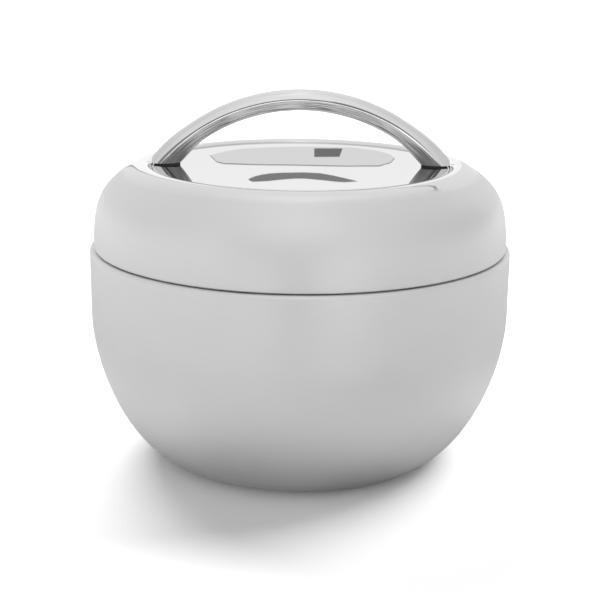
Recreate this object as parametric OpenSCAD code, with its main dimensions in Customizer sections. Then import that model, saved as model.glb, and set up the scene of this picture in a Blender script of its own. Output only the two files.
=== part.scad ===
/* [Bowl] */
// Widest outer diameter of the bowl
bowl_d = 165; // [150:1:190]
// Diameter of the flat ring that the bowl stands on
base_d = 101.5; // [90:0.5:112]
// Height at which the wall turns upright
belly_h = 57.8; // [50:0.2:64]
// Height of the bowl's rim
rim_h = 84; // [78:0.5:95]
// Rounding between the wall and the rim
rim_round_r = 1.8; // [1.2:0.1:2.6]
// Thickness of the outer sheet
shell_t = 0.8; // [0.5:0.1:1.2]

/* [Inner vessel] */
// Vacuum gap between the two walls
wall_gap = 7; // [5.5:0.1:8]
// Height of the vessel's floor above the table
floor_h = 10; // [9:0.5:14]
// Diameter of the vessel's flat floor
floor_d = 86; // [70:1:96]
// Depth below the outer belly at which the vessel's wall turns upright
inner_belly_drop = 1.8; // [0:0.2:6]
// Thickness of the vessel's sheet
vessel_t = 0.8; // [0.5:0.1:1.2]
// Rounding of the vessel's mouth
mouth_r = 2; // [1.4:0.1:2.4]

/* [Base] */
// Width of the flat ring round the opening in the outer shell's floor
base_ring_w = 8.75; // [7:0.25:10]
// Thickness of the vacuum closing plate
vacuum_plate_t = 0.8; // [0.6:0.1:1.2]
// Width of the closing plate's flange on the shell's floor
vacuum_flange_w = 4; // [2.5:0.1:5]
// Height by which the closing plate is raised inside its flange
vacuum_raise = 2.8; // [2.4:0.1:3.2]
// Diameter of the sunken seat round the evacuation hole
seal_seat_d = 18; // [14:0.5:24]
// Depth of that seat below the raised plate
seal_seat_depth = 1.6; // [1.2:0.1:2]
// Diameter of the evacuation hole
seal_hole_d = 2.4; // [1.6:0.1:3.2]
// Diameter of the solder bead that closes the hole
seal_bead_d = 5; // [4:0.1:7]
// Height of the bead below the plate
seal_bead_h = 0.5; // [0.3:0.1:0.6]
// Diameter of the getter pill
getter_d = 8; // [6:0.5:10]
// Height of the getter pill
getter_h = 2; // [1.5:0.1:2.6]
// Distance of the getter from the middle
getter_offset = 22; // [16:0.5:26]
// Height of the base cover's lower face above the table
base_cover_lift = 0.2; // [0.1:0.05:0.3]
// Play round the base cover
base_cover_play = 0.2; // [0.1:0.05:0.4]

/* [Lid] */
// Distance by which the lid's edge is set in from the bowl's wall
lid_setback = 1.7; // [0.8:0.1:2.4]
// Open seam between the bowl's rim and the lid's lower edge
seam_h = 0.6; // [0.4:0.1:1]
// Height of the crest above the rim
lid_rise = 32.4; // [29:0.2:38]
// Distance from the lid's edge in to the place where its side turns into the shoulder
shoulder_w = 11; // [9:0.2:13]
// Height of the crest above that place
shoulder_drop = 3.6; // [2.8:0.1:4.4]
// Distance from that place in to the crest
crest_w = 8.8; // [7:0.2:11]
// Rounding of the lid's lower edge
lid_edge_r = 1; // [0.6:0.1:1.4]
// Thickness of the lid's sheet
lid_t = 0.7; // [0.5:0.05:1]
// Width of the hem that turns in under the lid
hem_w = 2.2; // [1.8:0.1:2.8]

/* [Dish] */
// Distance from the crest in to the edge of the polished dish
dish_inset = 3; // [2.4:0.1:4]
// Step from the crest down to the dish's edge
dish_step = 1.1; // [0.8:0.1:1.6]
// Depth of the dish below its own edge
dish_depth = 0.9; // [0.6:0.1:1.6]
// Thickness of the dish plate
dish_t = 0.8; // [0.6:0.1:1]
// Height of the dish's turned down edge
dish_flange_h = 2.2; // [1.8:0.1:3]
// Play between the dish and the lid shell
dish_play = 0.25; // [0.15:0.05:0.35]
// Width of the ledge that carries the dish
ledge_w = 1.3; // [1:0.1:1.5]

/* [Lid liner] */
// Clearance of the plug that enters the bowl
plug_play = 1.9; // [1.4:0.1:2.6]
// Depth of the plug below the rim
plug_depth = 8; // [7:0.2:11]
// Thickness of the liner
liner_t = 1.6; // [1.2:0.1:2]
// Rounding of the plug's lower edge
plug_round_r = 2.4; // [1.8:0.1:3]
// Height of the liner's rim above the hem
liner_rim_h = 2; // [1.2:0.1:3]
// Clearance of the liner and the foam inside the lid's sheet
liner_play = 0.3; // [0.2:0.05:0.5]

/* [Lid seal] */
// Height of the seal ring
seal_h = 3; // [2:0.1:3.6]
// Depth of the groove that holds the ring
seal_groove = 0.7; // [0.5:0.05:0.9]
// Clearance between the ring's lip and the bowl
seal_play = 0.3; // [0.2:0.05:0.5]
// Height of the ring's lower face above the plug's lower face
seal_lift = 3; // [2.6:0.1:3.4]

/* [Handle] */
// Outer diameter of the handle's tube
tube_d = 8.2; // [7.6:0.1:9]
// Wall of the handle's tube
tube_wall = 1.2; // [0.8:0.1:1.6]
// Height of the tube's top above the crest
handle_rise = 28.2; // [24:0.2:36]
// Height of the feet's lower face above the dish's edge
foot_lift = 0.5; // [0.3:0.05:0.8]
// Inset of the black gaskets from the feet's outline
gasket_inset = 0.3; // [0.2:0.05:0.6]

/* [Handle fixing] */
// Distance of a stud inwards from the middle of its foot
stud_inset = 1.5; // [0.8:0.1:2]
// Height of the slug that is welded in each end of the tube
end_plug_h = 9; // [7:0.5:12]
// Clearance of the slug in the tube
end_plug_play = 0.05; // [0.02:0.01:0.1]
// Diameter of the stud
stud_d = 4; // [3:0.5:5]
// Radial clearance round the stud
stud_play = 0.15; // [0.1:0.05:0.3]
// Diameter of the shaped washer under the dish
washer_d = 7; // [6.4:0.1:7.2]
// Thickness of that washer at the stud
washer_t = 1.4; // [1.2:0.1:2]
// Clearance between that washer and the dish
washer_play = 0.06; // [0.04:0.01:0.2]
// Width of the nut across its flats
nut_af = 6.2; // [5.5:0.1:7]
// Height of the nut
nut_h = 3.2; // [2.4:0.1:4]
// Length of stud below the nut
stud_end = 1; // [0.6:0.1:1.6]
// Clearance of the foam round the fixing
foam_pocket_play = 1.2; // [0.8:0.1:2]

/* [Hidden] */
$fn = 96;
// One overrun for every cut
over = 1;
// Points of a line that are nearer than this count as one
same_point = 0.001;
// Pieces of a long curve, a corner, the lid's shoulder and the dish's bow
curve_steps = 40;
corner_steps = 6;
shoulder_steps = 12;
dish_steps = 28;
// How the bowl's curve leaves the flat base and reaches the upright wall
side_power_share = 1.207;
floor_power_share = 1.157;
// Where the two sheets meet on the rim, as a share of the flat between its roundings
rim_weld_share = 0.3125;
// Handles of the lid's side curve and shoulder curve, as shares across and up each
side_handle_shares = [[0, 0.658], [0.315, 0.798]];
shoulder_handle_shares = [[0.385, 0.735], [0.66, 0.97]];
// Radius and depth of the hollow in the getter's face, as shares of its radius and height
getter_hollow_share = 0.45;
getter_hollow_depth_share = 0.4;
// Width of the solder bead's flat, as a share of the bead's diameter
bead_flat_share = 0.5;
// Where the seal's lip begins and ends, as shares of the ring's height
seal_lip_shares = [0.5, 0.75];
// Outer radius of a bend, as a share of the thickness of its sheet
sheet_bend_share = 1.2;
liner_bend_share = 0.7;
crest_bend_r = lid_t * sheet_bend_share;
dish_bend_r = dish_t * sheet_bend_share;
liner_bend_r = liner_t * liner_bend_share;

bowl_r = bowl_d / 2;
base_r = base_d / 2;
base_open_r = base_r - base_ring_w;
cavity_r = bowl_r - shell_t - wall_gap - vessel_t;
rim_flat_r = cavity_r + mouth_r;
rim_weld_r = rim_flat_r + (bowl_r - rim_round_r - rim_flat_r) * rim_weld_share;
lid_r = bowl_r - lid_setback;
lid_z = rim_h + seam_h;
crest_z = rim_h + lid_rise;
shoulder_r = lid_r - shoulder_w;
shoulder_z = crest_z - shoulder_drop;
crest_r = shoulder_r - crest_w;
hem_r = lid_r - hem_w;
dish_r = crest_r - dish_inset;
dish_z = crest_z - dish_step;
ledge_z = dish_z - dish_flange_h;
lip_r = dish_r + dish_play;
bow_r = (dish_r * dish_r + dish_depth * dish_depth) / (2 * dish_depth);
bow_middle_z = dish_z - dish_depth + bow_r;
bow_edge_r = (dish_r - dish_bend_r) / (1 + dish_bend_r / bow_r);
bow_span = asin(bow_edge_r / bow_r);
under_dish_z = dish_z - max(dish_flange_h, dish_depth + dish_t);
plug_r = cavity_r - plug_play;
plug_z = rim_h - plug_depth;
neck_r = hem_r - liner_play;
liner_step_z = lid_z + lid_t + liner_play;
seal_z = plug_z + seal_lift;
tube_r = tube_d / 2;
bore_r = tube_r - tube_wall;
foot_x = dish_r - tube_r;
foot_z = dish_z + foot_lift;
handle_top_z = crest_z + handle_rise;
bend_rise = handle_top_z - tube_r - foot_z;
bend_r = (foot_x * foot_x + bend_rise * bend_rise) / (2 * bend_rise);
bend_z = foot_z + bend_rise - bend_r;
stud_x = foot_x - stud_inset;
stud_r = stud_d / 2;
stud_hole_r = stud_r + stud_play;
washer_r = washer_d / 2;
washer_low_z = bow_z(stud_x, dish_t) - washer_t;
nut_corner_r = nut_af / 2 / cos(30);
nut_low_z = washer_low_z - nut_h;
stud_low_z = nut_low_z - stud_end;
vacuum_flange_z = shell_t + vacuum_plate_t;
vacuum_top_z = vacuum_flange_z + vacuum_raise;
seal_seat_z = vacuum_top_z - seal_seat_depth;

// Height at radius r of a face that lies t below the dish's upper face
function bow_z(r, t = 0) = bow_middle_z - sqrt(pow(bow_r + t, 2) - r * r);

// Points of such a face, from its middle to its edge
function bow_line(t = 0) =
    [for (i = [0:dish_steps]) let (a = bow_span * i / dish_steps)
        [0, bow_middle_z] + (bow_r + t) * [sin(a), -cos(a)]];

// Points of an arc about c, from angle a to angle b
function arc(c, r, a, b, n = corner_steps) =
    [for (i = [0:n]) c + r * [cos(a + (b - a) * i / n), sin(a + (b - a) * i / n)]];

// Points of a cubic curve
function cubic(a, p, q, b, n = curve_steps) =
    [for (i = [0:n]) let (t = i / n, u = 1 - t)
        u * u * u * a + 3 * u * u * t * p + 3 * u * t * t * q + t * t * t * b];

// A point that lies the given shares of the way across and up from a to b
function part_way(a, b, shares) = [a[0] + (b[0] - a[0]) * shares[0], a[1] + (b[1] - a[1]) * shares[1]];

// The bowl's curve: level where it leaves the flat, upright at the belly
function bowl_curve(flat_r, wide_r, low_z, wide_z) =
    [for (i = [0:curve_steps]) let (t = 90 * i / curve_steps)
        [flat_r + (wide_r - flat_r) * pow(sin(t), side_power_share),
         low_z + (wide_z - low_z) * (1 - pow(cos(t), floor_power_share))]];

// Unit vector to the left of the way from a to b
function left_of(a, b) = let (ahead = (b - a) / norm(b - a)) [-ahead[1], ahead[0]];

// The line moved by d to its left hand side, with its corners mitred
function beside(p, d) = let (last = len(p) - 1)
    [for (i = [0:last])
        let (m = left_of(p[max(i - 1, 0)], p[max(i, 1)]),
            n = left_of(p[min(i, last - 1)], p[min(i + 1, last)]))
        p[i] + d * (m + n) / (1 + m * n)];

function without_repeats(p) =
    [for (i = [0:len(p) - 1]) if (i == 0 || norm(p[i] - p[max(i - 1, 0)]) > same_point) p[i]];

function backwards(p) = [for (i = [len(p) - 1:-1:0]) p[i]];

// Sheet of thickness t, turned about the axis, whose right hand face follows the line
module spun_sheet(line, t) {
    rotate_extrude() polygon(concat(line, backwards(beside(line, t))));
}

shell_line = without_repeats(concat(
    [[base_open_r, 0]],
    bowl_curve(base_r, bowl_r, 0, belly_h),
    arc([bowl_r - rim_round_r, rim_h - rim_round_r], rim_round_r, 0, 90),
    [[rim_weld_r, rim_h]]));

vessel_line = without_repeats(concat(
    [[0, floor_h]],
    bowl_curve(floor_d / 2, cavity_r, floor_h, belly_h - inner_belly_drop),
    arc([cavity_r + mouth_r, rim_h - mouth_r], mouth_r, 180, 90),
    [[rim_weld_r, rim_h]]));

lid_line = without_repeats(concat(
    [[hem_r, lid_z]],
    arc([lid_r - lid_edge_r, lid_z + lid_edge_r], lid_edge_r, -90, 0),
    cubic(
        [lid_r, lid_z + lid_edge_r],
        part_way([lid_r, rim_h], [shoulder_r, shoulder_z], side_handle_shares[0]),
        part_way([lid_r, rim_h], [shoulder_r, shoulder_z], side_handle_shares[1]),
        [shoulder_r, shoulder_z]),
    cubic(
        [shoulder_r, shoulder_z],
        part_way([shoulder_r, shoulder_z], [crest_r, crest_z], shoulder_handle_shares[0]),
        part_way([shoulder_r, shoulder_z], [crest_r, crest_z], shoulder_handle_shares[1]),
        [crest_r, crest_z], shoulder_steps),
    arc([lip_r + crest_bend_r, crest_z - crest_bend_r], crest_bend_r, 90, 180),
    [[lip_r, ledge_z], [lip_r - ledge_w, ledge_z]]));

// The bend at the dish's edge runs on smoothly from its bow
dish_line = without_repeats(concat(
    [[dish_r, ledge_z]],
    arc([dish_r - dish_bend_r, bow_z(bow_edge_r) - dish_bend_r * cos(bow_span)],
        dish_bend_r, 0, 90 + bow_span),
    backwards(bow_line())));

liner_line = without_repeats(concat(
    [[0, plug_z]],
    arc([plug_r - plug_round_r, plug_z + plug_round_r], plug_round_r, -90, 0),
    arc([plug_r + liner_bend_r, rim_h - liner_bend_r], liner_bend_r, 180, 90),
    [[neck_r, rim_h]]));

module outer_shell() {
    color("silver") spun_sheet(shell_line, shell_t);
}

module inner_vessel() {
    color("gainsboro") spun_sheet(vessel_line, -vessel_t);
}

// Pressed plate that closes the vacuum space from below
module vacuum_plate() {
    color("lightgray") spun_sheet([
        [base_open_r + vacuum_flange_w, shell_t],
        [base_open_r - vacuum_flange_w, shell_t],
        [base_open_r - vacuum_flange_w - vacuum_raise, shell_t + vacuum_raise],
        [seal_seat_d / 2 + seal_seat_depth, shell_t + vacuum_raise],
        [seal_seat_d / 2, seal_seat_z - vacuum_plate_t],
        [seal_hole_d / 2, seal_seat_z - vacuum_plate_t]
    ], -vacuum_plate_t);
}

module getter() {
    color("dimgray") translate([getter_offset, 0, vacuum_top_z]) difference() {
        cylinder(d = getter_d, h = getter_h);
        translate([0, 0, getter_h * (1 - getter_hollow_depth_share)])
            cylinder(d = getter_d * getter_hollow_share, h = getter_h);
    }
}

// Solder drop under the plate with a stem up its hole
module seal_bead() {
    low_z = seal_seat_z - vacuum_plate_t;
    color("slategray") rotate_extrude() polygon([
        [0, low_z - seal_bead_h],
        [seal_bead_d / 2 * bead_flat_share, low_z - seal_bead_h],
        [seal_bead_d / 2, low_z],
        [seal_hole_d / 2, low_z],
        [seal_hole_d / 2, seal_seat_z],
        [0, seal_seat_z]
    ]);
}

// Flat disc under the closing plate's flange, clear of the table
module base_cover() {
    color("silver") translate([0, 0, base_cover_lift])
        cylinder(r = base_open_r - base_cover_play, h = shell_t - base_cover_lift);
}

module lid_shell() {
    color("silver") spun_sheet(lid_line, lid_t);
}

// Everything from the rim's height up to a face that lies t below the dish's upper face
module under_bow(t = 0) {
    rotate_extrude() polygon(concat(
        [[0, rim_h]], bow_line(t),
        [[dish_r, bow_z(bow_edge_r, t)], [dish_r, rim_h]]));
}

// One upright bar of radius r at each stud
module at_studs(r, low, high) {
    for (side = [-1, 1]) translate([side * stud_x, 0, low]) cylinder(r = r, h = high - low);
}

module lid_dish() {
    color("whitesmoke") difference() {
        spun_sheet(dish_line, dish_t);
        at_studs(stud_hole_r, washer_low_z, foot_z);
    }
}

// Moulded pan under the lid: plug, flange on the rim and raised edge behind the hem
module lid_liner() {
    edge_r = lid_r - lid_t - liner_play;
    color("gray") difference() {
        union() {
            spun_sheet(liner_line, liner_t);
            rotate_extrude() polygon([
                [neck_r - liner_t, rim_h],
                [neck_r, rim_h],
                [neck_r, liner_step_z],
                [edge_r, liner_step_z],
                [edge_r, liner_step_z + liner_rim_h],
                [edge_r - liner_t, liner_step_z + liner_rim_h],
                [neck_r - liner_t, rim_h + liner_t]
            ]);
        }
        translate([0, 0, seal_z]) difference() {
            cylinder(r = plug_r + over, h = seal_h);
            translate([0, 0, -over]) cylinder(r = plug_r - seal_groove, h = seal_h + 2 * over);
        }
    }
}

// Foam block between the liner and the lid's sheet, with pockets for the fixings
module lid_foam() {
    low_z = plug_z + liner_t + liner_play;
    gap = lid_t + liner_play;
    liner_in_r = plug_r - liner_t - liner_play;
    wide_z = liner_step_z + liner_rim_h + liner_play;
    inner_side = [for (p = beside(lid_line, gap)) if (p[1] > wide_z && p[0] > lip_r + gap) p];
    color("khaki") difference() {
        rotate_extrude() polygon(concat(
            [[0, low_z], [liner_in_r, low_z], [liner_in_r, wide_z]],
            inner_side,
            [[lip_r + gap, under_dish_z - gap], [0, under_dish_z - gap]]));
        at_studs(nut_corner_r + foam_pocket_play, stud_low_z - foam_pocket_play, foot_z);
    }
}

module lid_seal() {
    color("white") translate([0, 0, seal_z]) rotate_extrude() polygon([
        [plug_r - seal_groove, 0],
        [plug_r, 0],
        [cavity_r - seal_play, seal_h * seal_lip_shares[0]],
        [cavity_r - seal_play, seal_h * seal_lip_shares[1]],
        [plug_r, seal_h],
        [plug_r - seal_groove, seal_h]
    ]);
}

// The handle's arch down to height z, as a round bar of radius r, no wider than the dish
module arch(r, z) {
    intersection() {
        translate([0, 0, bend_z]) rotate([90, 0, 0])
            rotate_extrude() translate([bend_r, 0]) circle(r = r);
        translate([0, 0, z]) cylinder(r = dish_r, h = handle_top_z + over - z);
    }
}

// Bent tube, cut level at its feet, with the sharp outer tips ground flush with the dish
module handle_tube() {
    color("gainsboro") difference() {
        arch(tube_r, foot_z);
        arch(bore_r, foot_z - over);
    }
}

// Slug in each end of the tube with the stud that passes the dish
module handle_studs() {
    color("darkgray") union() {
        intersection() {
            arch(bore_r - end_plug_play, foot_z);
            translate([0, 0, foot_z]) cylinder(r = dish_r, h = end_plug_h);
        }
        at_studs(stud_r, stud_low_z, foot_z + over);
    }
}

// Black seals between the feet and the dish
module handle_gaskets() {
    color("black") difference() {
        intersection() {
            arch(tube_r - gasket_inset, ledge_z);
            translate([0, 0, ledge_z]) cylinder(r = bow_edge_r, h = foot_z - ledge_z);
        }
        under_bow();
        at_studs(stud_hole_r, ledge_z - over, foot_z + over);
    }
}

// Washers whose upper face follows the dish's underside
module handle_washers() {
    color("silver") intersection() {
        difference() {
            at_studs(washer_r, washer_low_z, foot_z);
            at_studs(stud_hole_r, washer_low_z - over, foot_z + over);
        }
        under_bow(dish_t + washer_play);
    }
}

module handle_nuts() {
    color("darkgray") for (side = [-1, 1]) translate([side * stud_x, 0, nut_low_z]) difference() {
        cylinder(r = nut_corner_r, h = nut_h, $fn = 6);
        translate([0, 0, -over]) cylinder(r = stud_hole_r, h = nut_h + 2 * over);
    }
}

outer_shell();
inner_vessel();
vacuum_plate();
getter();
seal_bead();
base_cover();
lid_shell();
lid_dish();
lid_liner();
lid_foam();
lid_seal();
handle_tube();
handle_studs();
handle_gaskets();
handle_washers();
handle_nuts();
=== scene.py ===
"""Insulated stainless bowl with a lift-off lid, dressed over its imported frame."""
import math

import bmesh
import bpy
from mathutils import Matrix, Vector


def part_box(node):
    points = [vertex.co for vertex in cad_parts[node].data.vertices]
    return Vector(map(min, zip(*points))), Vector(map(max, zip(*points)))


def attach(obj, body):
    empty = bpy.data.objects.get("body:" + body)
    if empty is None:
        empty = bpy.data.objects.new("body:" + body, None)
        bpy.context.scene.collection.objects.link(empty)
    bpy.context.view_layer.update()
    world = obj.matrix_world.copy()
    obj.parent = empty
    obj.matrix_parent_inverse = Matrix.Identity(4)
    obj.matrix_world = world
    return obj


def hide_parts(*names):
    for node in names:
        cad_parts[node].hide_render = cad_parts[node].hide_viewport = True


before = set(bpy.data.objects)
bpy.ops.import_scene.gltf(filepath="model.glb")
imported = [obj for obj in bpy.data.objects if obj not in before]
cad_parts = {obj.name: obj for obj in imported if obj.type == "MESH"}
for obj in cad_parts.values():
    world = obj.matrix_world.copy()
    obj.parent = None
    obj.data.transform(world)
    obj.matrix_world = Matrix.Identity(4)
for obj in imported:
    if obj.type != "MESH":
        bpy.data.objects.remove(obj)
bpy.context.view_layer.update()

# One mm in metres, and the distance in mm below which two points are one
MM = 0.001
SAME_POINT = 0.001

# Mesh fineness, and the halvings that find where the tube meets its foot
TURN_STEPS = 288
CURVE_STEPS = 56
SHOULDER_STEPS = 36
CORNER_STEPS = 10
BOW_STEPS = 48
ARCH_STEPS = 240
SECTION_STEPS = 72
HALVINGS = 40
SHARP_ANGLE = math.radians(32)


def reach(node):
    """Lowest height, outer radius and highest height of a round node, in mm."""
    low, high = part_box(node)
    return low.z / MM, high.x / MM, high.z / MM


# Sizes that the frame gives, in mm
_, bowl_r, rim_h = reach("outer_shell")
vessel_low_z, weld_r, _ = reach("inner_vessel")
cover_low_z, cover_r, cover_high_z = reach("base_cover")
lid_z, lid_r, crest_z = reach("lid_shell")
_, dish_r, _ = reach("lid_dish")
plug_z, liner_edge_r, liner_high_z = reach("lid_liner")
seal_z, seal_r, seal_high_z = reach("lid_seal")
foot_z, _, handle_top_z = reach("handle_tube")

# Sizes of the bowl that the frame's boxes don't show, in mm
shell_t = 0.8
vessel_t = 0.8
base_r = 50.75
base_open_r = 42.0
belly_h = 57.8
rim_round_r = 1.35
floor_r = 43.0
floor_h = vessel_low_z + vessel_t
cavity_r = 73.9
inner_belly_h = 56.0
mouth_r = 2.0
weld_groove_w = 0.5
weld_groove_depth = 0.12
cover_edge_r = 0.25
side_power_share = 1.207
floor_power_share = 1.157

# Sizes of the lid's sheet, in mm
lid_t = 0.7
lid_edge_r = 0.75
# The rolled edge hangs a little lower than the flat that the frame shows
hem_drop = 0.25
hem_w = 2.2
hem_z = lid_z - hem_drop
hem_r = lid_r - hem_w
shoulder_w = 11.0
shoulder_drop = 3.6
shoulder_r = lid_r - shoulder_w
shoulder_z = crest_z - shoulder_drop
crest_w = 8.8
crest_r = shoulder_r - crest_w
side_handle_shares = [[0, 0.658], [0.315, 0.798]]
shoulder_handle_shares = [[0.385, 0.735], [0.66, 0.97]]
# The satin turns to a polish between these radii
polish_r = 66.5
satin_r = 70.0

# Sizes of the dish, in mm
dish_t = 0.8
sheet_bend_share = 1.2
dish_bend_r = dish_t * sheet_bend_share
dish_depth = 0.9
dish_step = 1.1
dish_z = crest_z - dish_step
dish_flange_h = 2.2
ledge_z = dish_z - dish_flange_h
dish_play = 0.25
ledge_w = 1.3

# The dish plate is part of a large ball
bow_r = (dish_r ** 2 + dish_depth ** 2) / (2 * dish_depth)
bow_middle_z = dish_z - dish_depth + bow_r
bow_edge_r = (dish_r - dish_bend_r) / (1 + dish_bend_r / bow_r)
bow_span = math.degrees(math.asin(bow_edge_r / bow_r))

# The crest rolls over into the dish, down to just above the dish's edge
lip_r = dish_r + dish_play
lip_bend_r = 3.0
lip_foot_lift = 0.05
lip_foot_z = dish_z + lip_foot_lift
lip_bend = math.degrees(math.acos(1 - (crest_z - lip_foot_z) / lip_bend_r))
lip_w = lip_bend_r * math.sin(math.radians(lip_bend))

# Sizes of the liner and its seal, in mm
liner_t = 1.6
liner_play = 0.3
liner_bend_r = 1.12
liner_step_z = lid_z + lid_t + liner_play
neck_r = hem_r - liner_play
plug_r = 72.0
plug_round_r = 2.4
seal_groove = 0.7
seal_lip_shares = [0.5, 0.75]

# Sizes of the handle, in mm
tube_r = 4.1
bore_r = 2.9
foot_x = dish_r - tube_r
bend_rise = handle_top_z - tube_r - foot_z
bend_r = (foot_x ** 2 + bend_rise ** 2) / (2 * bend_rise)
bend_z = foot_z + bend_rise - bend_r
# The tube's section widens a little towards its feet
flare_start = math.radians(32)
flare_end = math.radians(46)
flare_inner = 1.1
flare_outer = 0.45
stud_inset = 1.5
stud_x = foot_x - stud_inset
stud_hole_r = 2.15
gasket_inset = 0.15

# The lines drawn along the tube, as noise per radian round its section and along its arch
lines_round_tube = 16.0
lines_along_tube = 5.0
# The painted shade on the lines fades out between these shares of its radius, from below to above
under_low_share = -0.2
under_high_share = 0.25
# Painted shade under the feet: the under side darkens to this share between these angles along the
# arch
foot_shade = 0.4
foot_shade_start = math.radians(36)
foot_shade_end = math.radians(45)


# Points and outlines
def turned(centre, radius, degrees):
    """The point at this angle on a circle."""
    angle = math.radians(degrees)
    return (centre[0] + radius * math.cos(angle), centre[1] + radius * math.sin(angle))


def arc(centre, radius, start, end):
    """Points of an arc between two angles in degrees."""
    span = end - start
    return [
        turned(centre, radius, start + span * i / CORNER_STEPS) for i in range(CORNER_STEPS + 1)
    ]


def cubic(a, p, q, b, steps):
    """A cubic curve from a to b, with handles p and q."""
    points = []
    for i in range(steps + 1):
        t = i / steps
        u = 1 - t
        weights = (u ** 3, 3 * u * u * t, 3 * u * t * t, t ** 3)
        points.append(tuple(sum(w * c[k] for w, c in zip(weights, (a, p, q, b))) for k in (0, 1)))
    return points


def part_way(a, b, shares):
    """The point that lies these shares of the way from a to b across and up."""
    return (a[0] + (b[0] - a[0]) * shares[0], a[1] + (b[1] - a[1]) * shares[1])


def bowl_curve(flat_r, wide_r, low_z, wide_z):
    """The bowl's side: level where it leaves the flat, upright at the belly."""
    points = []
    for i in range(CURVE_STEPS + 1):
        t = math.pi / 2 * i / CURVE_STEPS
        out = abs(math.sin(t)) ** side_power_share
        up = 1 - abs(math.cos(t)) ** floor_power_share
        points.append((flat_r + (wide_r - flat_r) * out, low_z + (wide_z - low_z) * up))
    return points


def bow_point(degrees):
    """A point of the dish's upper face, by its angle from the middle."""
    return turned((0, bow_middle_z), bow_r, degrees - 90)


def bow_z(r):
    """Height of the dish's upper face at this radius."""
    return bow_middle_z - math.sqrt(bow_r ** 2 - r ** 2)


def bow_line():
    """The dish's upper face, from its edge to the middle."""
    return [bow_point(bow_span * i / BOW_STEPS) for i in range(BOW_STEPS, -1, -1)]


def without_repeats(points):
    """The points without those that lie on the one before them."""
    kept = points[:1]
    for point in points[1:]:
        if math.dist(point, kept[-1]) > SAME_POINT:
            kept.append(point)
    return kept


def left_of(a, b):
    """The unit vector to the left of the way from a to b."""
    length = math.dist(a, b)
    return (-(b[1] - a[1]) / length, (b[0] - a[0]) / length)


def beside(points, distance):
    """The line moved to its left hand side, with its corners mitred."""
    moved = []
    last = len(points) - 1
    for i, point in enumerate(points):
        m = left_of(points[max(i - 1, 0)], points[max(i, 1)])
        n = left_of(points[min(i, last - 1)], points[min(i + 1, last)])
        share = distance / (1 + m[0] * n[0] + m[1] * n[1])
        moved.append((point[0] + (m[0] + n[0]) * share, point[1] + (m[1] + n[1]) * share))
    return moved


def sheet(line, t):
    """Closed outline of a sheet of thickness t to the left of a line."""
    line = without_repeats(line)
    return line + [(max(r, 0), z) for r, z in reversed(beside(line, t))]


# Meshes
def add_object(name, mesh, material, body, nodes):
    data = bpy.data.meshes.new(name)
    bmesh.ops.recalc_face_normals(mesh, faces=mesh.faces)
    mesh.to_mesh(data)
    mesh.free()
    data.polygons.foreach_set("use_smooth", [True] * len(data.polygons))
    data.set_sharp_from_angle(angle=SHARP_ANGLE)
    data.materials.append(material)
    piece = bpy.data.objects.new(name, data)
    bpy.context.scene.collection.objects.link(piece)
    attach(piece, body)
    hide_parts(*nodes)


def lathe(outline):
    """A closed outline of (radius, height) points turned about the axis."""
    mesh = bmesh.new()
    directions = [turned((0, 0), 1, 360 * i / TURN_STEPS) for i in range(TURN_STEPS)]
    rings = []
    for r, z in outline:
        if r < SAME_POINT:
            rings.append([mesh.verts.new((0, 0, z * MM))] * TURN_STEPS)
        else:
            rings.append([mesh.verts.new((r * MM * c, r * MM * s, z * MM)) for c, s in directions])
    for low, high in zip(rings, rings[1:] + rings[:1]):
        for i in range(TURN_STEPS):
            j = (i + 1) % TURN_STEPS
            corners = list(dict.fromkeys([low[i], low[j], high[j], high[i]]))
            if len(corners) > 2:
                mesh.faces.new(corners)
    return mesh


def join_rings(mesh, ring, following):
    """Faces between two closed rings with as many points."""
    for k in range(len(ring)):
        j = (k + 1) % len(ring)
        mesh.faces.new((ring[k], ring[j], following[j], following[k]))


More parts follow.
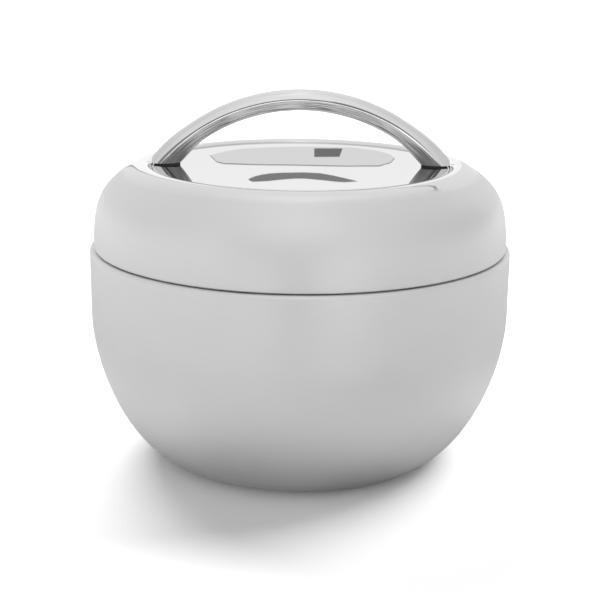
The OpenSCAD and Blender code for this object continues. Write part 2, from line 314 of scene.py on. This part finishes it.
# Materials
class Finish:
    """A Principled material, with short ways to add nodes to it."""

    def __init__(self, name, **values):
        self.material = bpy.data.materials.new(name)
        self.material.use_nodes = True
        self.tree = self.material.node_tree
        self.shader = self.tree.nodes["Principled BSDF"]
        for socket, value in values.items():
            self.shader.inputs[socket.replace("_", " ")].default_value = value

    def node(self, kind, *inputs, **settings):
        """Adds a node; each input is a value or a socket."""
        node = self.tree.nodes.new("ShaderNode" + kind)
        for key, value in settings.items():
            setattr(node, key, value)
        for socket, value in zip(node.inputs, inputs):
            if isinstance(value, bpy.types.NodeSocket):
                self.tree.links.new(value, socket)
            else:
                socket.default_value = value
        return node.outputs

    def math(self, operation, *inputs):
        return self.node("Math", *inputs, operation=operation)[0]

    def add(self, total, *parts):
        for part in parts:
            total = self.math("ADD", total, part)
        return total

    def times(self, value, factor):
        return self.math("MULTIPLY", value, factor)

    def between(self, factor, start, end):
        """start where factor is 0 and end where it is 1."""
        return self.math("MULTIPLY_ADD", factor, end - start, start)

    def step(self, value, low, high, start=0.0, end=1.0):
        """Smooth change from start to end while value goes from low to high."""
        outputs = self.node(
            "MapRange", value, low, high, start, end, interpolation_type="SMOOTHSTEP"
        )
        return outputs["Result"]

    def place(self):
        """The point in the part's own frame, in metres, as three sockets."""
        return self.node("SeparateXYZ", self.node("TexCoord")["Object"])

    def noise(self, vector, scale, detail=2.0):
        node = self.tree.nodes.new("ShaderNodeTexNoise")
        node.inputs["Scale"].default_value = scale
        node.inputs["Detail"].default_value = detail
        self.tree.links.new(vector, node.inputs["Vector"])
        return node.outputs["Fac"]

    def clouds(self, scale, detail):
        """Noise with no direction, fixed to the part."""
        return self.noise(self.node("TexCoord")["Object"], scale, detail)

    def mottled(self, lines, clouds, low, high, spread):
        """From low to high with the lines, and up to spread more or less with the clouds."""
        return self.add(self.between(lines, low, high), self.between(clouds, -spread, spread))

    def bump(self, height, strength, distance):
        node = self.tree.nodes.new("ShaderNodeBump")
        node.inputs["Strength"].default_value = strength
        node.inputs["Distance"].default_value = distance
        self.tree.links.new(height, node.inputs["Height"])
        self.tree.links.new(node.outputs["Normal"], self.shader.inputs["Normal"])

    def colour(self, red, green, blue):
        mixed = self.node("CombineColor", red, green, blue)[0]
        self.tree.links.new(mixed, self.shader.inputs["Base Color"])

    def grey(self, value):
        self.colour(value, value, value)

    def roughness(self, value):
        self.tree.links.new(value, self.shader.inputs["Roughness"])


def radius_of(finish, x, y):
    return finish.math("SQRT", finish.add(finish.times(x, x), finish.times(y, y)))


def lines_round(finish, slope, width, length_share):
    """Distance from the axis, and noise drawn out into lines that run round the axis.

    The lines are about width metres wide. slope is 1 where the radius grows with the height
    and -1 where it shrinks.
    """
    x, y, z = finish.place()
    r = radius_of(finish, x, y)
    along = finish.math("MULTIPLY_ADD", r, slope, z)
    vector = finish.node(
        "CombineXYZ",
        finish.times(finish.math("DIVIDE", x, r), length_share),
        finish.times(finish.math("DIVIDE", y, r), length_share),
        finish.math("DIVIDE", along, width),
    )[0]
    return r, finish.noise(vector, scale=1.0)


def satin_steel(name, slope, polished=False):
    """Satin steel, turned to a polish towards the axis where polished is true."""
    finish = Finish(name, Metallic=1.0, Anisotropic=0.5, Anisotropic_Rotation=0.25)
    r, lines = lines_round(finish, slope, width=0.00025, length_share=9.0)
    clouds = finish.clouds(scale=26.0, detail=3.0)
    rough = finish.mottled(lines, clouds, low=0.44, high=0.5, spread=0.06)
    if polished:
        polish_rough = 0.05
        satin = finish.step(r, low=polish_r * MM, high=satin_r * MM)
        rough = finish.add(finish.times(finish.add(rough, -polish_rough), satin), polish_rough)
    finish.roughness(rough)
    finish.grey(finish.mottled(lines, clouds, low=0.8, high=0.84, spread=0.04))
    finish.bump(lines, strength=0.05, distance=0.00002)
    tangent = finish.node("Tangent", direction_type="RADIAL", axis="Z")[0]
    finish.tree.links.new(tangent, finish.shader.inputs["Tangent"])
    return finish.material


def mirror_steel():
    finish = Finish("mirror_finish", Metallic=1.0)
    _, lines = lines_round(finish, slope=1.0, width=0.0006, length_share=14.0)
    finish.roughness(finish.between(lines, start=0.006, end=0.016))
    finish.grey(finish.between(lines, start=0.67, end=0.69))
    finish.bump(finish.clouds(scale=45.0, detail=1.0), strength=0.02, distance=0.0002)
    return finish.material


def vessel_steel():
    finish = Finish("vessel_finish", Metallic=1.0, Anisotropic=0.3)
    _, lines = lines_round(finish, slope=1.0, width=0.0004, length_share=8.0)
    clouds = finish.clouds(scale=30.0, detail=3.0)
    finish.roughness(finish.mottled(lines, clouds, low=0.18, high=0.26, spread=0.03))
    finish.grey(finish.between(lines, start=0.73, end=0.76))
    finish.bump(lines, strength=0.05, distance=0.00002)
    return finish.material


def tube_steel():
    """Polished tube with fine lines drawn along it, with painted shade on its under side and under
    its feet.
    """
    finish = Finish("tube_finish", Metallic=1.0)
    x, y, z = finish.place()
    up = finish.add(z, -bend_z * MM)
    out = finish.add(radius_of(finish, x, up), -bend_r * MM)
    turn = finish.math("ARCTAN2", y, out)
    along = finish.math("ARCTAN2", x, up)
    vector = finish.node(
        "CombineXYZ",
        finish.times(turn, lines_round_tube),
        finish.times(along, lines_along_tube),
        0.0,
    )[0]
    lines = finish.noise(vector, scale=1.0, detail=4.0)
    low, high = under_low_share * tube_r * MM, under_high_share * tube_r * MM
    # Painted shade: the lines are drawn dark on the tube's under side only, fading out upwards
    under = finish.step(out, low, high, start=1.0, end=0.1)
    painted_shade_streaks = finish.times(finish.step(lines, low=0.46, high=0.6), under)
    # Painted shade under the feet, stronger towards each foot
    steep = finish.step(finish.math("ABSOLUTE", along), foot_shade_start, foot_shade_end)
    shade = finish.between(finish.times(steep, under), start=1.0, end=foot_shade)
    finish.roughness(finish.between(lines, start=0.05, end=0.12))
    finish.grey(finish.times(finish.between(painted_shade_streaks, start=0.86, end=0.32), shade))
    finish.bump(lines, strength=0.06, distance=0.00003)
    return finish.material


def speckled(name, colour, spread, roughness, scale, bump, metallic=0.0):
    """A plain material with a fine irregular grain."""
    rough_spread = 0.06
    finish = Finish(name, Metallic=metallic)
    grain = finish.clouds(scale, detail=4.0)
    finish.colour(*[finish.between(grain, part - spread, part + spread) for part in colour])
    finish.roughness(finish.between(grain, roughness - rough_spread, roughness + rough_spread))
    finish.bump(grain, bump, distance=0.00005)
    return finish.material


# The bowl's pieces
def make_outer_shell(material):
    rim_centre = (bowl_r - rim_round_r, rim_h - rim_round_r)
    line = (
        [(base_open_r, 0)]
        + bowl_curve(base_r, bowl_r, 0, belly_h)
        + arc(rim_centre, rim_round_r, 0, 90)
        + [(weld_r + weld_groove_w, rim_h), (weld_r, rim_h - weld_groove_depth)]
    )
    mesh = lathe(sheet(line, shell_t))
    add_object("outer_shell_sheet", mesh, material, "bowl", ["outer_shell"])


def make_inner_vessel(material):
    mouth_centre = (cavity_r + mouth_r, rim_h - mouth_r)
    line = (
        [(0, floor_h)]
        + bowl_curve(floor_r, cavity_r, floor_h, inner_belly_h)
        + arc(mouth_centre, mouth_r, 180, 90)
        + [(weld_r - weld_groove_w, rim_h), (weld_r, rim_h - weld_groove_depth)]
    )
    mesh = lathe(sheet(line, -vessel_t))
    add_object("inner_vessel_sheet", mesh, material, "bowl", ["inner_vessel"])


def make_base_cover(material):
    outline = (
        [(0, cover_low_z)]
        + arc((cover_r - cover_edge_r, cover_low_z + cover_edge_r), cover_edge_r, -90, 0)
        + [(cover_r, cover_high_z), (0, cover_high_z)]
    )
    mesh = lathe(outline)
    add_object("base_cover_disc", mesh, material, "bowl", ["base_cover"])


# The lid's pieces
def make_lid_shell(material):
    base = (lid_r, rim_h)
    shoulder = (shoulder_r, shoulder_z)
    crest = (crest_r, crest_z)
    side_handles = [part_way(base, shoulder, shares) for shares in side_handle_shares]
    shoulder_handles = [part_way(shoulder, crest, shares) for shares in shoulder_handle_shares]
    lip_centre = (lip_r + lip_w, crest_z - lip_bend_r)
    line = (
        [(hem_r, hem_z)]
        + arc((lid_r - lid_edge_r, hem_z + lid_edge_r), lid_edge_r, -90, 0)
        + cubic((lid_r, hem_z + lid_edge_r), *side_handles, shoulder, CURVE_STEPS)
        + cubic(shoulder, *shoulder_handles, crest, SHOULDER_STEPS)
        + arc(lip_centre, lip_bend_r, 90, 90 + lip_bend)
        + [(lip_r, ledge_z), (lip_r - ledge_w, ledge_z)]
    )
    mesh = lathe(sheet(line, lid_t))
    add_object("lid_shell_sheet", mesh, material, "lid", ["lid_shell"])


def make_lid_dish(material):
    drop = dish_bend_r * math.cos(math.radians(bow_span))
    bend_centre = (dish_r - dish_bend_r, bow_point(bow_span)[1] - drop)
    line = [(dish_r, ledge_z)] + arc(bend_centre, dish_bend_r, 0, 90 + bow_span) + bow_line()
    mesh = lathe(sheet(line, dish_t))
    add_object("lid_dish_plate", mesh, material, "lid", ["lid_dish"])


def make_lid_liner(material):
    plug_centre = (plug_r - plug_round_r, plug_z + plug_round_r)
    outline = (
        [(0, plug_z)]
        + arc(plug_centre, plug_round_r, -90, 0)
        + [(plug_r, seal_z), (plug_r - seal_groove, seal_z)]
        + [(plug_r - seal_groove, seal_high_z), (plug_r, seal_high_z)]
        + arc((plug_r + liner_bend_r, rim_h - liner_bend_r), liner_bend_r, 180, 90)
        + [(neck_r, rim_h), (neck_r, liner_step_z), (liner_edge_r, liner_step_z)]
        + [(liner_edge_r, liner_high_z), (liner_edge_r - liner_t, liner_high_z)]
        + [(neck_r - liner_t, rim_h + liner_t), (plug_r - liner_t, rim_h + liner_t)]
        + [(plug_r - liner_t, plug_z + plug_round_r)]
        + arc(plug_centre, plug_round_r - liner_t, 0, -90)
        + [(0, plug_z + liner_t)]
    )
    mesh = lathe(without_repeats(outline))
    add_object("lid_liner_pan", mesh, material, "lid", ["lid_liner"])


def make_lid_seal(material):
    height = seal_high_z - seal_z
    lip_low, lip_high = [seal_z + height * share for share in seal_lip_shares]
    tip_r = (lip_high - lip_low) / 2
    outline = (
        [(plug_r - seal_groove, seal_z), (plug_r, seal_z)]
        + arc((seal_r - tip_r, lip_low + tip_r), tip_r, -90, 90)
        + [(plug_r, seal_high_z), (plug_r - seal_groove, seal_high_z)]
    )
    mesh = lathe(without_repeats(outline))
    add_object("lid_seal_ring", mesh, material, "lid", ["lid_seal"])


# The handle
def section_turns():
    return [2 * math.pi * k / SECTION_STEPS for k in range(SECTION_STEPS)]


def tube_point(angle, turn, radius):
    """A point of the tube's skin: angle along the arch from its top, turn round the section."""
    flare = min(max((abs(angle) - flare_start) / (flare_end - flare_start), 0), 1)
    flare = flare * flare * (3 - 2 * flare)
    out = math.cos(turn)
    side = flare_outer if out > 0 else flare_inner
    swell = flare * side * abs(out)
    distance = bend_r + (radius + swell) * out
    x = distance * math.sin(angle)
    y = radius * math.sin(turn)
    z = bend_z + distance * math.cos(angle)
    spread = math.hypot(x, y)
    if spread > dish_r:
        x, y = x * dish_r / spread, y * dish_r / spread
    return Vector((x, y, z)) * MM


def foot_angle(turn, radius):
    """Angle at which this line of the tube's skin comes down to the foot."""
    low, high = 0, math.pi / 2
    for _ in range(HALVINGS):
        middle = (low + high) / 2
        if tube_point(middle, turn, radius).z > foot_z * MM:
            low = middle
        else:
            high = middle
    return low


def skin_lines(mesh, radius):
    """Lines of points from foot to foot, one for each place round the section."""
    shares = [2 * i / ARCH_STEPS - 1 for i in range(ARCH_STEPS + 1)]
    lines = []
    for turn in section_turns():
        end = foot_angle(turn, radius)
        lines.append([mesh.verts.new(tube_point(end * share, turn, radius)) for share in shares])
    return lines


def make_handle(material):
    mesh = bmesh.new()
    skins = [skin_lines(mesh, radius) for radius in (tube_r, bore_r)]
    for lines in skins:
        for line, following in zip(lines, lines[1:] + lines[:1]):
            for i in range(ARCH_STEPS):
                mesh.faces.new((line[i], line[i + 1], following[i + 1], following[i]))
    for end in (0, -1):
        outer, inner = [[line[end] for line in lines] for lines in skins]
        join_rings(mesh, outer, inner)
    add_object("handle_tube_arch", mesh, material, "lid", ["handle_tube"])


def gasket_rings(side):
    """Rings round one gasket: its outline on the dish and under the foot, then its hole."""
    low, high, hole_high, hole_low = [], [], [], []
    for turn in section_turns():
        tip = tube_point(side * foot_angle(turn, tube_r), turn, tube_r) / MM
        from_middle = Vector((tip.x - side * foot_x, tip.y))
        from_middle *= 1 - gasket_inset / from_middle.length
        edge = Vector((side * foot_x, 0)) + from_middle
        edge *= min(1, bow_edge_r / edge.length)
        hole_x = side * (stud_x + stud_hole_r * math.cos(turn))
        hole = Vector((hole_x, stud_hole_r * math.sin(turn)))
        low.append((edge.x, edge.y, bow_z(edge.length)))
        high.append((edge.x, edge.y, foot_z))
        hole_high.append((hole.x, hole.y, foot_z))
        hole_low.append((hole.x, hole.y, bow_z(hole.length)))
    return low, high, hole_high, hole_low


def make_gaskets(material):
    mesh = bmesh.new()
    for side in (-1, 1):
        rings = [[mesh.verts.new(Vector(p) * MM) for p in ring] for ring in gasket_rings(side)]
        for ring, following in zip(rings, rings[1:] + rings[:1]):
            join_rings(mesh, ring, following)
    add_object("handle_gasket_pads", mesh, material, "lid", ["handle_gaskets"])


def dress(node, material):
    """Gives a CAD piece that stays its finished material."""
    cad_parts[node].data.materials.clear()
    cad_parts[node].data.materials.append(material)


def make_bowl():
    satin = satin_steel("satin_bowl_finish", slope=1.0)
    make_outer_shell(satin)
    make_base_cover(satin)
    make_inner_vessel(vessel_steel())
    dress("getter", speckled(
        "getter_finish", (0.25, 0.25, 0.26), spread=0.05, roughness=0.8, scale=3000.0, bump=0.5
    ))
    dress("seal_bead", speckled(
        "solder_finish", (0.5, 0.5, 0.52), spread=0.04, roughness=0.5, scale=1500.0, bump=0.3,
        metallic=1.0,
    ))


def make_lid():
    make_lid_shell(satin_steel("satin_lid_finish", slope=-1.0, polished=True))
    make_lid_dish(mirror_steel())
    make_lid_liner(speckled(
        "liner_finish", (0.32, 0.33, 0.34), spread=0.015, roughness=0.5, scale=2500.0, bump=0.15
    ))
    make_lid_seal(speckled(
        "seal_finish", (0.8, 0.8, 0.78), spread=0.015, roughness=0.42, scale=900.0, bump=0.05
    ))
    dress("lid_foam", speckled(
        "foam_finish", (0.82, 0.77, 0.58), spread=0.04, roughness=0.85, scale=700.0, bump=0.6
    ))
    make_handle(tube_steel())
    make_gaskets(speckled(
        "rubber_finish", (0.03, 0.03, 0.03), spread=0.008, roughness=0.6, scale=2200.0, bump=0.2
    ))


def dress_plain_pieces():
    plain = speckled(
        "plain_steel_finish", (0.6, 0.6, 0.6), spread=0.03, roughness=0.35, scale=1800.0,
        bump=0.1, metallic=1.0,
    )
    for name in ("vacuum_plate", "handle_studs", "handle_washers", "handle_nuts"):
        dress(name, plain)


# The camera, recovered from the photograph, in metres and radians
camera_place = (0, -0.51623, 0.20152)
camera_pitch = 0.266822
camera_roll = 0.0097017
camera_yaw = 0.00043964
photo_size = 600
focal_pixels = 1332.545
sensor_mm = 36.0


def make_camera():
    data = bpy.data.cameras.new("camera")
    data.sensor_width = sensor_mm
    data.lens = focal_pixels / photo_size * sensor_mm
    camera = bpy.data.objects.new("camera", data)
    bpy.context.scene.collection.objects.link(camera)
    camera.matrix_world = (
        Matrix.Translation(camera_place)
        @ Matrix.Rotation(-camera_yaw, 4, "Z")
        @ Matrix.Rotation(math.pi / 2 - camera_pitch, 4, "X")
        @ Matrix.Rotation(camera_roll, 4, "Z")
    )
    bpy.context.scene.camera = camera
    return camera


# The studio's reflections in the dish, as pixels of the photograph
patch_top_pixels = [
    (210, 155), (224, 151.5), (241, 148.8), (270, 147.3), (302, 146.7), (352, 147.5), (379, 151),
    (390, 154.6),
]
patch_low_pixels = [
    (394.7, 157.8), (390.6, 162), (379.4, 165.6), (348, 165.8), (307, 165), (269, 164.4),
    (224, 163.2), (217, 161.5),
]
patch_line_pixels = 1.0
block_pixels = [(314.3, 148.5), (342.6, 148.5), (339.4, 156.9), (314.3, 156.9)]
crescent_pixels = [
    (248, 179.5), (250.5, 177.8), (255, 176.2), (262, 174.5), (270, 173.5), (282, 172.7),
    (295, 172.4), (305, 172.4), (320, 173.3), (333, 175.4), (345, 178.2), (358, 181.5),
    (345, 182.3), (335, 181.7), (320, 180), (305, 178.7), (294, 178.8), (282.5, 179.6),
    (270, 181), (252.5, 181.9),
]

# The cards that give these reflections stand upright behind the bowl, one just before another
card_y = 0.9
card_gap = 0.002
patch_light = 0.84
patch_line_light = 0.3
block_light = 0.2
crescent_light = 0.25

# The white backdrop's upper outline as the crest shows it, as (azimuth, elevation) in degrees
# from the crest; it grows dimmer to the right
panel_top = [
    (-14, -0.6), (-14, 14), (-11, 21), (-7, 25), (0, 21), (6, 23), (10, 27), (25, 34), (33, 37),
    (40, 39), (50, 41),
]
panel_low = -0.8
panel_far = 6.0
panel_gap = 0.1
panel_light = 1.05
panel_fade = 0.2
panel_fade_from = 5
panel_fade_over = 5

# The thin darker line round the backdrop, with the corners that also move to the left, and
# the dark strip along its foot
panel_line = 1.2
panel_line_light = 0.45
panel_left_corners = 3
panel_strip = [(-6.0, 5.0), (8.0, 5.0)]
panel_strip_light = 0.3

# Dark things in front of the table: (azimuth, elevation) corners and brightness
dark_things = {
    "studio_dark_left": ([(-168, -1), (-168, 14), (-145, 14), (-145, -1)], 0.25),
    "studio_dark_middle": ([(-168, 2), (-168, 12), (-190, 12), (-190, 2)], 0.18),
    "studio_dark_right": ([(158, 4), (160, 17), (174, 20), (176, 4)], 0.2),
}
dark_far = 5.0

# The darker stretch of floor in front, as (azimuth, distance in metres) corners
dark_floor = [(173, 0.3), (173, 1.6), (191, 1.6), (191, 0.3)]
dark_floor_light = 0.6


def pixel_ray(pixel):
    """Origin and direction of the camera's ray through a pixel of the photograph."""
    x = (pixel[0] - photo_size / 2) / focal_pixels
    y = -(pixel[1] - photo_size / 2) / focal_pixels
    matrix = camera.matrix_world
    return matrix.translation, (matrix.to_3x3() @ Vector((x, y, -1))).normalized()


def off_the_dish(pixel, distance):
    """Point at y = distance that the dish shows at this pixel."""
    start, ray = pixel_ray(pixel)
    centre = Vector((0, 0, bow_middle_z * MM))
    reach_back = start - centre
    b = reach_back.dot(ray)
    c = reach_back.dot(reach_back) - (bow_r * MM) ** 2
    hit = start + ray * (math.sqrt(b * b - c) - b)
    normal = (centre - hit).normalized()
    mirrored = ray - normal * (2 * ray.dot(normal))
    return hit + mirrored * ((distance - hit.y) / mirrored.y)


def toward(azimuth, elevation, distance):
    """Point in this direction from the crest; azimuth 0 is the back and 90 the right."""
    a, e = math.radians(azimuth), math.radians(elevation)
    direction = Vector((math.sin(a) * math.cos(e), math.cos(a) * math.cos(e), math.sin(e)))
    return Vector((0, 0, crest_z * MM)) + direction * distance


def on_floor(azimuth, distance):
    """Point in this direction that lies just above the floor."""
    point = toward(azimuth, 0, distance)
    return (point.x, point.y, MM)


def glow(name, strength):
    material = bpy.data.materials.new(name)
    material.use_nodes = True
    tree = material.node_tree
    tree.nodes.clear()
    emission = tree.nodes.new("ShaderNodeEmission")
    emission.inputs["Strength"].default_value = strength
    output = tree.nodes.new("ShaderNodeOutputMaterial")
    tree.links.new(emission.outputs[0], output.inputs["Surface"])
    return material


def add_board(name, points, material):
    """A flat part of the studio."""
    data = bpy.data.meshes.new(name)
    data.from_pydata([tuple(p) for p in points], [], [list(range(len(points)))])
    data.materials.append(material)
    board = bpy.data.objects.new(name, data)
    bpy.context.scene.collection.objects.link(board)
    return board


def card(name, points, strength):
    """A flat part of the studio that only reflections show."""
    board = add_board(name, points, glow(name, strength))
    board.visible_camera = False
    board.visible_diffuse = False
    board.visible_shadow = False


def make_panel(name, top, distance, strength):
    """A part of the backdrop, below a line of (azimuth, elevation) corners."""
    for i, (a, b) in enumerate(zip(top, top[1:])):
        corners = [(a[0], panel_low), a, b, (b[0], panel_low)]
        fade = 1.0 - panel_fade * min(max(a[0] - panel_fade_from, 0) / panel_fade_over, 1)
        points = [toward(*corner, distance) for corner in corners]
        card(f"{name}_{i}", points, strength * fade)


def make_backdrop():
    line = []
    for i, (azimuth, elevation) in enumerate(panel_top):
        left = panel_line if i < panel_left_corners else 0
        line.append((azimuth - left, elevation + panel_line))
    make_panel("studio_panel", panel_top, panel_far, panel_light)
    make_panel("studio_panel_low", panel_strip, panel_far - panel_gap, panel_strip_light)
    make_panel("studio_panel_line", line, panel_far + panel_gap, panel_line_light)


def make_dark_things():
    for name, (corners, strength) in dark_things.items():
        card(name, [toward(*corner, dark_far) for corner in corners], strength)
    card("studio_dark_floor", [on_floor(*corner) for corner in dark_floor], dark_floor_light)


def make_dish_card(name, pixels, layer, strength):
    """A card that the dish shows at these pixels, by so many gaps before the hindmost."""
    distance = card_y - layer * card_gap
    card(name, [off_the_dish(pixel, distance) for pixel in pixels], strength)


def make_dish_cards():
    upper = patch_low_pixels + patch_top_pixels[:1]
    lower = [(x, y + patch_line_pixels) for x, y in reversed(upper)]
    make_dish_card("studio_patch", patch_top_pixels + patch_low_pixels, 0, patch_light)
    make_dish_card("studio_patch_edge", upper + lower, 1, patch_line_light)
    make_dish_card("studio_block", block_pixels, 2, block_light)
    make_dish_card("studio_crescent", crescent_pixels, 0, crescent_light)


# The studio's light, where 1 is white: its level for anything but metal, and for metal the
# level to the sides and what the front and back add
plain_light = 0.25
even_light = 0.71
ahead_light = 0.14

# The floor's grey to light and in metal, what it adds to the camera, and its reach in metres
floor_grey = 0.93
floor_in_metal = 0.39
floor_to_camera = 0.53
floor_reach = 20.0
# The direction to the right in which the floor is a little darker in metal
floor_right = (0.87, -0.5)


def sky(shader):
    """Radiance that metal sees, by direction."""
    x, y, z = shader.node("SeparateXYZ", shader.node("TexCoord")["Generated"])
    level = radius_of(shader, x, y)
    rise = shader.times(shader.math("ARCSINE", z), 180 / math.pi)
    ahead = shader.math("DIVIDE", y, level)
    across = shader.math("DIVIDE", x, level)
    even = shader.math("MULTIPLY_ADD", shader.times(ahead, ahead), ahead_light, even_light)
    top = shader.step(rise, low=45.0, high=80.0, start=0.0, end=0.08)
    low_sides = shader.times(
        shader.step(across, low=0.35, high=0.8),
        shader.step(rise, low=0.0, high=30.0, start=-0.24, end=-0.03),
    )
    middle = shader.times(
        shader.step(ahead, low=-0.995, high=-0.95, start=1.0, end=0.0),
        shader.step(rise, low=8.0, high=30.0, start=-0.04, end=0.06),
    )
    return shader.add(even, top, low_sides, middle)


class Sky(Finish):
    """The world's nodes, with the same short ways to add to them."""

    def __init__(self):
        world = bpy.data.worlds.new("studio")
        world.use_nodes = True
        world.cycles.sampling_method = "NONE"
        self.tree = world.node_tree
        self.tree.nodes.clear()
        bpy.context.scene.world = world


def make_world():
    """White to the camera, the sky to metal and a plain low level to all else."""
    shader = Sky()
    path = shader.node("LightPath")
    seen = shader.math("MAXIMUM", path["Is Camera Ray"], path["Is Transmission Ray"])
    in_metal = shader.times(path["Is Glossy Ray"], shader.add(sky(shader), -plain_light))
    value = shader.add(plain_light, in_metal)
    value = shader.add(value, shader.times(seen, shader.math("SUBTRACT", 1.0, value)))
    background = shader.tree.nodes.new("ShaderNodeBackground")
    background.inputs["Color"].default_value = (1, 1, 1, 1)
    shader.tree.links.new(value, background.inputs["Strength"])
    output = shader.tree.nodes.new("ShaderNodeOutputWorld")
    shader.tree.links.new(background.outputs[0], output.inputs["Surface"])


def floor_lift(finish, x, y):
    """Light that the floor adds in reflections, by distance and direction."""
    away = radius_of(finish, x, y)
    ahead = finish.math("DIVIDE", y, away)
    right = finish.math("MULTIPLY_ADD", y, floor_right[1], finish.times(x, floor_right[0]))
    front = finish.times(
        finish.step(ahead, low=-0.98, high=-0.8, start=0.4, end=0.0),
        finish.step(away, low=0.25, high=0.4),
    )
    lift = finish.add(
        finish.step(away, low=0.055, high=0.11, start=0.1, end=0.46),
        finish.step(away, low=0.11, high=0.17, start=0.0, end=-0.22),
        finish.step(away, low=0.3, high=0.9, start=0.0, end=0.53),
        finish.step(finish.math("DIVIDE", right, away), low=0.3, high=0.9, start=0.0, end=-0.05),
        finish.step(y, low=-2.2, high=-1.6, start=-0.2, end=0.0),
        front,
    )
    return finish.math("MAXIMUM", lift, 0.0)


def make_floor():
    """Plain pale floor, white to the camera and a little darker to metal."""
    finish = Finish("floor", Roughness=1.0, Specular_IOR_Level=0.0, Emission_Color=(1, 1, 1, 1))
    x, y, _ = finish.place()
    path = finish.node("LightPath")
    glossy = path["Is Glossy Ray"]
    grey = finish.between(glossy, floor_grey, floor_in_metal)
    finish.grey(finish.math("MULTIPLY_ADD", path["Is Camera Ray"], floor_to_camera, grey))
    lift = finish.times(glossy, floor_lift(finish, x, y))
    finish.tree.links.new(lift, finish.shader.inputs["Emission Strength"])
    finish.material.cycles.emission_sampling = "NONE"
    far = floor_reach
    corners = [(-far, -far, 0), (far, -far, 0), (far, far, 0), (-far, far, 0)]
    add_board("floor", corners, finish.material)


def make_lamp(name, azimuth, elevation, width, strength):
    """Soft far light from this direction, for everything but metal; angles in degrees."""
    data = bpy.data.lights.new(name, "SUN")
    data.angle = math.radians(width)
    data.energy = strength
    lamp = bpy.data.objects.new(name, data)
    bpy.context.scene.collection.objects.link(lamp)
    away = toward(azimuth, elevation, 1) - toward(0, 0, 0)
    lamp.rotation_euler = away.to_track_quat("Z", "Y").to_euler()
    lamp.visible_glossy = False


make_bowl()
make_lid()
dress_plain_pieces()
camera = make_camera()
make_backdrop()
make_dark_things()
make_dish_cards()
make_world()
make_floor()
make_lamp("lamp_left", azimuth=-24, elevation=42, width=36, strength=2.05)
make_lamp("lamp_right", azimuth=58, elevation=46, width=34, strength=1.75)
bpy.context.scene.view_settings.view_transform = "Standard"
